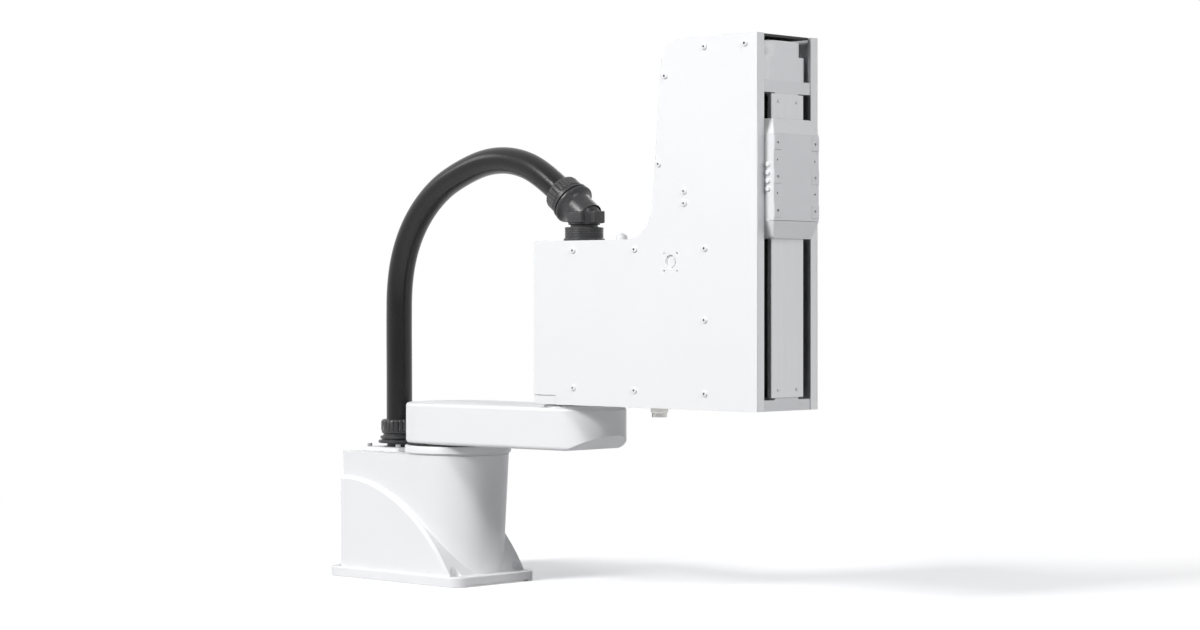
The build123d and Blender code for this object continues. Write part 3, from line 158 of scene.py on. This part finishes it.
WHITE = (0.86, 0.862, 0.872)
MATERIALS = {
    "white_paint": grained("white_paint", WHITE, 0.42, 900, 0.00003, edge=0.0015, drift=0.012),
    "cover_paint": grained("cover_paint", (0.865, 0.868, 0.878), 0.40, 1100, 0.00002, drift=0.008),
    "carriage_paint": grained("carriage_paint", (0.80, 0.803, 0.812), 0.42, 900, 0.00003, drift=0.012),
    "module_grey": grained("module_grey", (0.78, 0.785, 0.80), 0.40, 1200, 0.00003, drift=0.02),
    "anodised_profile": grained("anodised_profile", (0.62, 0.625, 0.64), 0.36, 260, 0.00004,
                                metal=0.85, drift=0.06, stretch=(6.0, 6.0, 0.06)),
    "machined_aluminium": grained("machined_aluminium", (0.66, 0.665, 0.68), 0.34, 300, 0.00003,
                                  metal=1.0, drift=0.05, stretch=(0.1, 6.0, 6.0)),
    "grey_moulding": grained("grey_moulding", (0.82, 0.825, 0.84), 0.45, 1500, 0.00004, drift=0.012),
    "black_conduit": grained("black_conduit", (0.006, 0.006, 0.0065), 0.25, 700, 0.00002, edge=0.0,
                             drift=0.15, spec=0.4),
    "black_fitting": grained("black_fitting", (0.040, 0.040, 0.042), 0.38, 1300, 0.00006,
                             drift=0.12, spec=0.5),
    "black_trim": grained("black_trim", (0.028, 0.028, 0.029), 0.55, 1200, 0.00005, drift=0.1),
    "seal_rubber": grained("seal_rubber", (0.022, 0.022, 0.022), 0.62, 900, 0.00006, drift=0.1),
    "screw_steel": grained("screw_steel", (0.55, 0.55, 0.56), 0.32, 1400, 0.00003, edge=0.0003,
                           metal=1.0, drift=0.05),
    "white_screw": grained("white_screw", (0.84, 0.84, 0.85), 0.36, 1800, 0.00002, edge=0.0003,
                           drift=0.01),
    "bearing_steel": grained("bearing_steel", (0.60, 0.60, 0.61), 0.18, 500, 0.00001, edge=0.0004,
                             metal=1.0, drift=0.05, stretch=(1.0, 1.0, 8.0)),
    "motor_black": grained("motor_black", (0.045, 0.045, 0.048), 0.5, 1500, 0.00008, drift=0.1),
    "lamp_diffuser": grained("lamp_diffuser", (0.90, 0.90, 0.91), 0.25, 300, 0.00001, drift=0.01),
    "nickel_brass": grained("nickel_brass", (0.58, 0.575, 0.56), 0.30, 900, 0.00003, edge=0.0004,
                            metal=1.0, drift=0.06),
}


# Painted shade: a near-black colour standing for the shadow inside a screw's hex socket
SOCKET_SHADE = grained("socket_shadow", (0.05, 0.05, 0.052), 0.6, 900, 0.00003, edge=0.0, drift=0.1)

for entry in frame["record"]["subparts"]:
    solid = frame["nodes"][entry["node"]]
    solid.data.materials.clear()
    solid.data.materials.append(MATERIALS[entry["material_slot"]])


def finish_piece(mesh, name, slot, body, angle=35.0):
    """Makes an object of a bmesh, shades it and lets it ride on a body."""
    bmesh.ops.recalc_face_normals(mesh, faces=mesh.faces)
    data = bpy.data.meshes.new(name)
    mesh.to_mesh(data)
    mesh.free()
    data.materials.append(MATERIALS[slot])
    # Slot 1 of every piece holds the painted shade for sunk sockets
    data.materials.append(SOCKET_SHADE)
    piece = bpy.data.objects.new(name, data)
    bpy.context.scene.collection.objects.link(piece)
    data.shade_smooth()
    data.set_sharp_from_angle(angle=math.radians(angle))
    if body:
        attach(piece, body)
    return piece


def upright(x=0.0, y=0.0, z=0.0):
    return Matrix.Translation((x, y, z))


def aimed(centre, way, side=Vector((0.0, 1.0, 0.0))):
    """Places a turned shape with its axis along a direction."""
    third = way.cross(side)
    turn = Matrix((side, third, way)).transposed().to_4x4()
    return Matrix.Translation(centre) @ turn


def turned(mesh, rows, place, sides=96, ribs=0, sharp=1.0):
    """Spins rows of (radius, height) or (radius, height, rib depth) round the axis of a place."""
    loops = []
    for row in rows:
        radius, height = row[0], row[1]
        depth = row[2] if len(row) > 2 else 0.0
        loop = []
        for step in range(sides):
            angle = 2 * math.pi * step / sides
            dip = depth * max(0.0, math.cos(ribs * angle)) ** sharp if ribs else 0.0
            r = radius - dip
            spot = Vector((r * math.cos(angle), r * math.sin(angle), height))
            loop.append(mesh.verts.new(place @ spot))
        loops.append(loop)
    for low, high in zip(loops, loops[1:]):
        for step in range(sides):
            after = (step + 1) % sides
            mesh.faces.new((low[step], low[after], high[after], high[step]))
    return loops


def cap(mesh, loop, dark=False):
    face = mesh.faces.new(loop)
    # dark=True gives the face slot 1, the painted shade
    face.material_index = 1 if dark else 0


def hose_centreline():
    """The hose's route as one smooth curve, read back as points."""
    curve = bpy.data.curves.new("hose_line", "CURVE")
    curve.dimensions = "3D"
    curve.resolution_u = 12
    spline = curve.splines.new("NURBS")
    spline.points.add(len(HOSE_ROUTE) - 1)
    for point, (x, z) in zip(spline.points, HOSE_ROUTE):
        point.co = (x, 0.0, z, 1.0)
    spline.order_u = 3
    spline.use_endpoint_u = True
    holder = bpy.data.objects.new("hose_line", curve)
    bpy.context.scene.collection.objects.link(holder)
    bpy.context.view_layer.update()
    line = bpy.data.meshes.new_from_object(holder)
    points = [Vector(v.co) for v in line.vertices]
    bpy.data.objects.remove(holder)
    bpy.data.meshes.remove(line)
    return points


def hose():
    """Smooth-jacketed conduit along the centreline."""
    points = hose_centreline()
    mesh = bmesh.new()
    sides = 64
    side = Vector((0.0, 1.0, 0.0))
    loops = []
    for index, point in enumerate(points):
        before = points[max(0, index - 1)]
        after = points[min(len(points) - 1, index + 1)]
        way = (after - before).normalized()
        across = side.cross(way).normalized()
        loop = []
        for step in range(sides):
            angle = 2 * math.pi * step / sides
            offset = side * math.cos(angle) + across * math.sin(angle)
            loop.append(mesh.verts.new(point + offset * HOSE_RADIUS))
        loops.append(loop)
    for low, high in zip(loops, loops[1:]):
        for step in range(sides):
            after = (step + 1) % sides
            mesh.faces.new((low[step], low[after], high[after], high[step]))
    cap(mesh, list(reversed(loops[0])))
    cap(mesh, loops[-1])
    piece = finish_piece(mesh, "conduit_hose_jacket", "black_conduit", None)
    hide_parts("conduit_hose")
    length = sum((b - a).length for a, b in zip(points, points[1:]))
    print("hose line length", round(length, 4))
    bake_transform(piece)


def nut_rows(length):
    """Side of a ribbed hose nut standing on height 0, closed in at the hose."""
    radius = 0.034
    lip = HOSE_RADIUS + 0.0004
    return [(0.026, 0.0), (radius - 0.003, 0.0), (radius - 0.001, 0.001), (radius - 0.001, 0.0045),
            (radius, 0.0055, 0.0), (radius, 0.0065, 0.0019), (radius, length - 0.005, 0.0019),
            (radius - 0.0006, length - 0.003, 0.0019), (radius - 0.002, length - 0.0012, 0.0012),
            (radius - 0.0035, length - 0.0003, 0.0), (radius - 0.005, length, 0.0),
            (lip + 0.0012, length, 0.0), (lip, length - 0.001, 0.0), (lip, length - 0.006, 0.0)]


def hose_nut(name, node, body, place, length):
    mesh = bmesh.new()
    turned(mesh, nut_rows(length), place, sides=240, ribs=24, sharp=3.0)
    piece = finish_piece(mesh, name, "black_fitting", body, 40)
    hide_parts(node)


def base_fitting():
    """Stub on the plate, wide ring, body under the nut."""
    mesh = bmesh.new()
    rows = [(0.018, 0.239), (0.023, 0.239), (0.023, 0.2458), (0.0375, 0.2458), (0.039, 0.2470),
            (0.039, 0.2500), (0.0378, 0.2512), (0.0330, 0.2516), (0.0325, 0.2524), (0.0325, 0.2532),
            (0.0350, 0.2540), (0.0354, 0.2550), (0.0354, 0.2580), (0.0346, 0.2590), (0.0300, 0.2594),
            (0.0300, 0.2642), (0.0180, 0.2642)]
    turned(mesh, rows + rows[:1], upright(HOSE_BASE_X), sides=96)
    piece = finish_piece(mesh, "hose_base_union", "black_fitting", "base")
    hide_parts("hose_base_fitting")


def top_flange():
    """Grooved swivel socket on the box top."""
    mesh = bmesh.new()
    low = BOX_TOP
    rows = [(0.0180, low), (0.0345, low), (0.0360, low + 0.0010), (0.0360, low + 0.0045),
            (0.0352, low + 0.0056), (0.0334, low + 0.0060)]
    height = low + 0.0075
    while height < low + 0.0205:
        rows += [(0.0334, height), (0.0340, height + 0.0005), (0.0340, height + 0.0016),
                 (0.0334, height + 0.0021)]
        height += 0.0030
    rows += [(0.0340, low + 0.0215), (0.0340, low + 0.0238), (0.0330, low + 0.0250),
             (0.0256, low + 0.0250), (0.02455, low + 0.0242), (0.02455, low + 0.0060),
             (0.0180, low + 0.0060)]
    turned(mesh, rows + rows[:1], upright(SECOND_AXIS.x), sides=128)
    piece = finish_piece(mesh, "hose_top_socket", "black_fitting", "arm_2")
    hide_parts("hose_top_flange")


def elbow():
    """Bent barrel with a bowl-shaped ring and a slotted collar at its upper end."""
    mesh = bmesh.new()
    radius = 0.028
    turned(mesh, [(0.0242, -0.0416), (0.0242, -0.0190), (radius - 0.001, -0.0188), (radius, -0.0178),
                  (radius, 0.0)], upright(ELBOW_CENTRE.x, 0.0, ELBOW_CENTRE.z), sides=96)
    ball = aimed(ELBOW_CENTRE, Vector((0.0, 0.0, 1.0)))
    rows = []
    for step in range(13):
        angle = math.radians(90 * step / 12)
        rows.append((max(0.0002, radius * math.cos(angle)), radius * math.sin(angle)))
    turned(mesh, rows, ball, sides=96)
    start = 0.029
    slant = aimed(ELBOW_CENTRE, ELBOW_WAY)
    bowl = [(radius, -0.012), (radius, 0.018), (0.0292, 0.0215), (0.0315, 0.0250), (0.0350, 0.0277),
            (0.0376, start + 0.0002), (0.0380, start + 0.0010), (0.0380, start + 0.0040),
            (0.0372, start + 0.0050), (0.0312, start + 0.0052), (0.0308, start + 0.0060),
            (0.0308, start + 0.0078)]
    collar = [(0.0362, start + 0.0082), (0.0370, start + 0.0090), (0.0370, start + 0.0120),
              (0.0362, start + 0.0129), (0.0300, start + 0.0130)]
    turned(mesh, bowl + collar, slant, sides=128)
    piece = finish_piece(mesh, "hose_elbow_barrel", "black_fitting", "elbow")
    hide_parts("hose_elbow")


def rounded_box(mesh, low, high, edge):
    """A box with rounded edges."""
    made = bmesh.ops.create_cube(mesh, size=1.0)
    size = [b - a for a, b in zip(low, high)]
    middle = [(a + b) / 2 for a, b in zip(low, high)]
    for vert in made["verts"]:
        vert.co = Vector([m + s * c for m, s, c in zip(middle, size, vert.co)])
    edges = list({e for v in made["verts"] for e in v.link_edges})
    bmesh.ops.bevel(mesh, geom=edges, offset=edge, segments=3, profile=0.5, affect="EDGES")


def elbow_wing():
    """Flat lug of the elbow, with a raised panel on each flank."""
    mesh = bmesh.new()
    x = ELBOW_CENTRE.x
    z = ELBOW_CENTRE.z
    rounded_box(mesh, (x + 0.010, -0.013, z - 0.016), (x + 0.038, 0.013, z + 0.005), 0.0016)
    rounded_box(mesh, (x - 0.014, -0.0292, z - 0.016), (x + 0.020, 0.0292, z + 0.004), 0.0022)
    piece = finish_piece(mesh, "elbow_latch_block", "black_fitting", "elbow")
    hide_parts("elbow_key_wing")


def button_screw(mesh, place):
    """Domed button head with a sunk hex socket, its inside coloured with painted shade."""
    radius = 0.0055
    height = 0.0030
    hex_radius = 0.0020
    rows = [(radius - 0.0003, 0.0), (radius, 0.0003), (radius, 0.0006)]
    for step in range(1, 7):
        share = step / 6
        rise = (height - 0.0006) * math.sin(share * 1.57)
        rows.append((radius * math.cos(share * 1.05), 0.0006 + rise))
    rim = turned(mesh, rows, place, sides=36)[-1]
    sides = 6
    brim = []
    deep = []
    for step in range(sides):
        angle = 2 * math.pi * step / sides
        x = hex_radius * math.cos(angle)
        y = hex_radius * math.sin(angle)
        brim.append(mesh.verts.new(place @ Vector((x, y, height))))
        deep.append(mesh.verts.new(place @ Vector((x, y, height - 0.0014))))
    each = len(rim) // sides
    for step in range(sides):
        after = (step + 1) % sides
        outer = [rim[(step * each + k) % len(rim)] for k in range(each + 1)]
        mesh.faces.new([brim[after], brim[step]] + outer)
        # The socket's walls and bottom carry the painted shade of slot 1
        wall = mesh.faces.new((brim[step], brim[after], deep[after], deep[step]))
        wall.material_index = 1
    cap(mesh, deep, dark=True)


def cover_screw_places():
    """Distance behind the front face, and height, of each side cover screw, in metres."""
    low_row = 0.361
    roof_row = 0.598
    top_row = 0.9295
    return [(0.025, top_row), (0.113, top_row), (0.200, top_row - 0.0435), (0.214, top_row - 0.1895),
            (0.157, roof_row + 0.095), (0.157, roof_row + 0.075), (0.112, roof_row),
            (0.269, roof_row), (0.413, roof_row), (0.112, roof_row - 0.118),
            (0.112, low_row - 0.002), (0.269, low_row), (0.412, low_row + 0.001)]


def cover_screws(side, name, node):
    mesh = bmesh.new()
    way = Vector((0.0, side, 0.0))
    for behind, z in cover_screw_places():
        centre = Vector((FRONT - behind, side * SIDE_FACE, z))
        button_screw(mesh, aimed(centre, way, Vector((1.0, 0.0, 0.0))))
    piece = finish_piece(mesh, name, "white_screw", "arm_2", 50)
    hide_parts(node)


def shaded_gap_ring():
    """Thin black ring under arm 1, painted shade standing for the shadowed gap between the arm and the
    collar band, with a fine step in its wall.
    """
    mesh = bmesh.new()
    rows = [(0.076, 0.243), (0.0885, 0.243), (0.0890, 0.2434), (0.0890, 0.2490), (0.0925, 0.2492),
            (0.0935, 0.2496), (0.0935, 0.2510), (0.0928, 0.2515), (0.076, 0.2515)]
    turned(mesh, rows + rows[:1], upright(), sides=144)
    # The near-black rubber colour of this ring is painted shade of the gap
    piece = finish_piece(mesh, "first_axis_shaded_gap_ring", "seal_rubber", "base")
    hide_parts("j1_seal_ring")


def collar_band():
    """Painted band round the collar, with a fine groove at its foot."""
    mesh = bmesh.new()
    rows = [(0.0905, 0.2325), (0.0935, 0.2325), (0.0935, 0.2350), (0.0965, 0.2352), (0.0970, 0.2358),
            (0.0970, 0.2468), (0.0964, 0.2479), (0.0953, 0.2485), (0.0905, 0.2485)]
    turned(mesh, rows + rows[:1], upright(), sides=144)
    finish_piece(mesh, "first_axis_collar_band", "white_paint", "base")


def notch_pads():
    """Cast pads that stand in the notches at the lower rear corners of the side covers."""
    mesh = bmesh.new()
    for side in (-1.0, 1.0):
        low, high = sorted((side * 0.062, side * 0.0752))
        rounded_box(mesh, (0.2735, low, 0.3325), (0.330, high, 0.3525), 0.0015)
    finish_piece(mesh, "arm_2_notch_pads", "white_paint", "arm_2")


def gland():
    """Knurled gland nut under the nose, with a plain collar below."""
    mesh = bmesh.new()
    high = 0.332
    rows = [(0.008, high - 0.019), (0.0125, high - 0.019), (0.0130, high - 0.0185),
            (0.0130, high - 0.0118), (0.0138, high - 0.0112, 0.0), (0.0150, high - 0.0098, 0.0007),
            (0.0150, high - 0.0030, 0.0007), (0.0148, high - 0.0018, 0.0), (0.0150, high - 0.0012),
            (0.0150, high), (0.008, high)]
    turned(mesh, rows + rows[:1], upright(0.498), sides=240, ribs=40, sharp=1.0)
    piece = finish_piece(mesh, "user_gland_nut", "nickel_brass", "arm_2")
    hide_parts("user_port_gland")


AMBIENT = 0.20                       # soft light from all round
FLOOR_BOUNCE = (0.40, 0.40, 0.405)   # floor colour as the robot sees it
FLOOR_LIFT = 0.38                    # white added to the floor for the camera, shadows kept


def floor_material():
    """White floor that keeps shadows near the robot and meets the background further out."""
    material, tree, shader = new_material("studio_floor")
    points = object_points(tree)
    grain = noise(tree, points, 40.0, 3.0)
    seen = seen_rays(tree)
    pale = tint(tree, grain, (0.90, 0.90, 0.905), (0.92, 0.92, 0.925))
    choice = add(tree, "ShaderNodeMix", data_type="RGBA")
    choice.inputs["A"].default_value = (*FLOOR_BOUNCE, 1.0)
    tree.links.new(pale, choice.inputs["B"])
    tree.links.new(seen, choice.inputs["Factor"])
    tree.links.new(choice.outputs["Result"], shader.inputs["Base Color"])
    shader.inputs["Roughness"].default_value = 0.9
    shader.inputs["Specular IOR Level"].default_value = 0.1
    glow = add(tree, "ShaderNodeEmission", {"Strength": 1.0})
    lift = add(tree, "ShaderNodeEmission")
    lift_strength = add(tree, "ShaderNodeMath", {1: FLOOR_LIFT}, operation="MULTIPLY")
    tree.links.new(seen, lift_strength.inputs[0])
    tree.links.new(lift_strength.outputs[0], lift.inputs["Strength"])
    near = add(tree, "ShaderNodeAddShader")
    tree.links.new(shader.outputs["BSDF"], near.inputs[0])
    tree.links.new(lift.outputs["Emission"], near.inputs[1])
    source = add(tree, "ShaderNodeTexCoord")
    length = add(tree, "ShaderNodeVectorMath", operation="LENGTH")
    tree.links.new(source.outputs["Object"], length.inputs[0])
    fade = add(tree, "ShaderNodeMapRange", {"From Min": 0.9, "From Max": 2.3},
               interpolation_type="SMOOTHSTEP")
    tree.links.new(length.outputs["Value"], fade.inputs["Value"])
    both = add(tree, "ShaderNodeMath", operation="MULTIPLY")
    tree.links.new(fade.outputs["Result"], both.inputs[0])
    tree.links.new(seen, both.inputs[1])
    mix = add(tree, "ShaderNodeMixShader")
    output = [n for n in tree.nodes if n.type == "OUTPUT_MATERIAL"][0]
    tree.links.new(both.outputs[0], mix.inputs[0])
    tree.links.new(near.outputs["Shader"], mix.inputs[1])
    tree.links.new(glow.outputs["Emission"], mix.inputs[2])
    tree.links.new(mix.outputs["Shader"], output.inputs["Surface"])
    return material


def seen_rays(tree):
    """1 for rays from the camera, from gloss or through glass, else 0."""
    path = add(tree, "ShaderNodeLightPath")
    first = add(tree, "ShaderNodeMath", operation="MAXIMUM")
    second = add(tree, "ShaderNodeMath", operation="MAXIMUM")
    tree.links.new(path.outputs["Is Camera Ray"], first.inputs[0])
    tree.links.new(path.outputs["Is Glossy Ray"], first.inputs[1])
    tree.links.new(first.outputs[0], second.inputs[0])
    tree.links.new(path.outputs["Is Transmission Ray"], second.inputs[1])
    return second.outputs[0]


def reflected_strength(tree):
    """White all round for the camera; for gloss, dimmer on the open side in front of the robot."""
    source = add(tree, "ShaderNodeTexCoord")
    facing = add(tree, "ShaderNodeVectorMath", {1: (0.62, -0.78, 0.1)}, operation="DOT_PRODUCT")
    tree.links.new(source.outputs["Generated"], facing.inputs[0])
    dim = add(tree, "ShaderNodeMapRange", {"From Min": 0.0, "From Max": 0.9, "To Min": 1.0,
                                           "To Max": 0.12}, interpolation_type="SMOOTHSTEP")
    tree.links.new(facing.outputs["Value"], dim.inputs["Value"])
    path = add(tree, "ShaderNodeLightPath")
    either = add(tree, "ShaderNodeMath", operation="MAXIMUM")
    tree.links.new(path.outputs["Is Camera Ray"], either.inputs[0])
    tree.links.new(dim.outputs["Result"], either.inputs[1])
    return either.outputs[0]


def stage():
    """White floor, and a world that is white for the camera and soft light for the robot."""
    mesh = bmesh.new()
    bmesh.ops.create_grid(mesh, x_segments=1, y_segments=1, size=40.0)
    data = bpy.data.meshes.new("studio_floor")
    mesh.to_mesh(data)
    mesh.free()
    data.materials.append(floor_material())
    floor = bpy.data.objects.new("studio_floor", data)
    floor.location = (0.0, 0.0, -0.0004)
    bpy.context.scene.collection.objects.link(floor)
    world = bpy.data.worlds.new("studio")
    bpy.context.scene.world = world
    world.use_nodes = True
    tree = world.node_tree
    tree.nodes.clear()
    seen = add(tree, "ShaderNodeBackground", {"Color": (1.0, 1.0, 1.0, 1.0)})
    tree.links.new(reflected_strength(tree), seen.inputs["Strength"])
    soft = add(tree, "ShaderNodeBackground", {"Color": (0.93, 0.95, 1.0, 1.0), "Strength": AMBIENT})
    mix = add(tree, "ShaderNodeMixShader")
    output = add(tree, "ShaderNodeOutputWorld")
    tree.links.new(seen_rays(tree), mix.inputs[0])
    tree.links.new(soft.outputs[0], mix.inputs[1])
    tree.links.new(seen.outputs[0], mix.inputs[2])
    tree.links.new(mix.outputs[0], output.inputs["Surface"])


def lamp(name, place, target, side, power):
    """Square area lamp aimed at a point."""
    data = bpy.data.lights.new(name, "AREA")
    data.shape = "RECTANGLE"
    data.size = side
    data.size_y = side
    data.energy = power
    light = bpy.data.objects.new(name, data)
    light.location = place
    way = Vector(target) - Vector(place)
    light.rotation_euler = way.to_track_quat("-Z", "Y").to_euler()
    bpy.context.scene.collection.objects.link(light)


def lights():
    """Key from the left of the picture, fill on the front faces, weak light behind."""
    lamp("key", (-1.20, -7.40, 5.40), (0.3, 0.0, 0.45), 2.4, 640.0)
    lamp("front", (3.70, -1.00, 2.60), (0.75, 0.0, 0.60), 0.7, 58.0)
    lamp("side", (-2.6, -1.6, 2.2), (0.1, 0.0, 0.3), 1.0, 10.0)
    lamp("back", (-1.2, 4.40, 2.60), (0.3, 0.0, 0.40), 1.5, 26.0)


def camera():
    """The camera fitted to the photograph."""
    data = bpy.data.cameras.new("photo_camera")
    data.sensor_width = 36.0
    data.lens = 82.4
    data.shift_y = -0.015
    made = bpy.data.objects.new("photo_camera", data)
    made.location = (3.6488, -3.4677, 0.518)
    made.rotation_euler = (math.radians(90.0), 0.0, math.radians(43.5))
    bpy.context.scene.collection.objects.link(made)
    bpy.context.scene.camera = made


camera()
hose()
hose_nut("hose_base_ribbed_nut", "hose_base_nut", "base",
         upright(HOSE_BASE_X, 0.0, BASE_NUT_BOTTOM), BASE_NUT_LENGTH)
hose_nut("elbow_ribbed_nut", "elbow_hose_nut", "elbow",
         aimed(ELBOW_CENTRE + ELBOW_WAY * ELBOW_NUT_START, ELBOW_WAY), ELBOW_TO_HOSE - ELBOW_NUT_START)
base_fitting()
top_flange()
elbow()
elbow_wing()
cover_screws(-1.0, "right_cover_button_screws", "right_cover_screws")
cover_screws(1.0, "left_cover_button_screws", "left_cover_screws")
shaded_gap_ring()
collar_band()
notch_pads()
gland()
stage()
lights()
bpy.context.scene.view_settings.view_transform = "Standard"
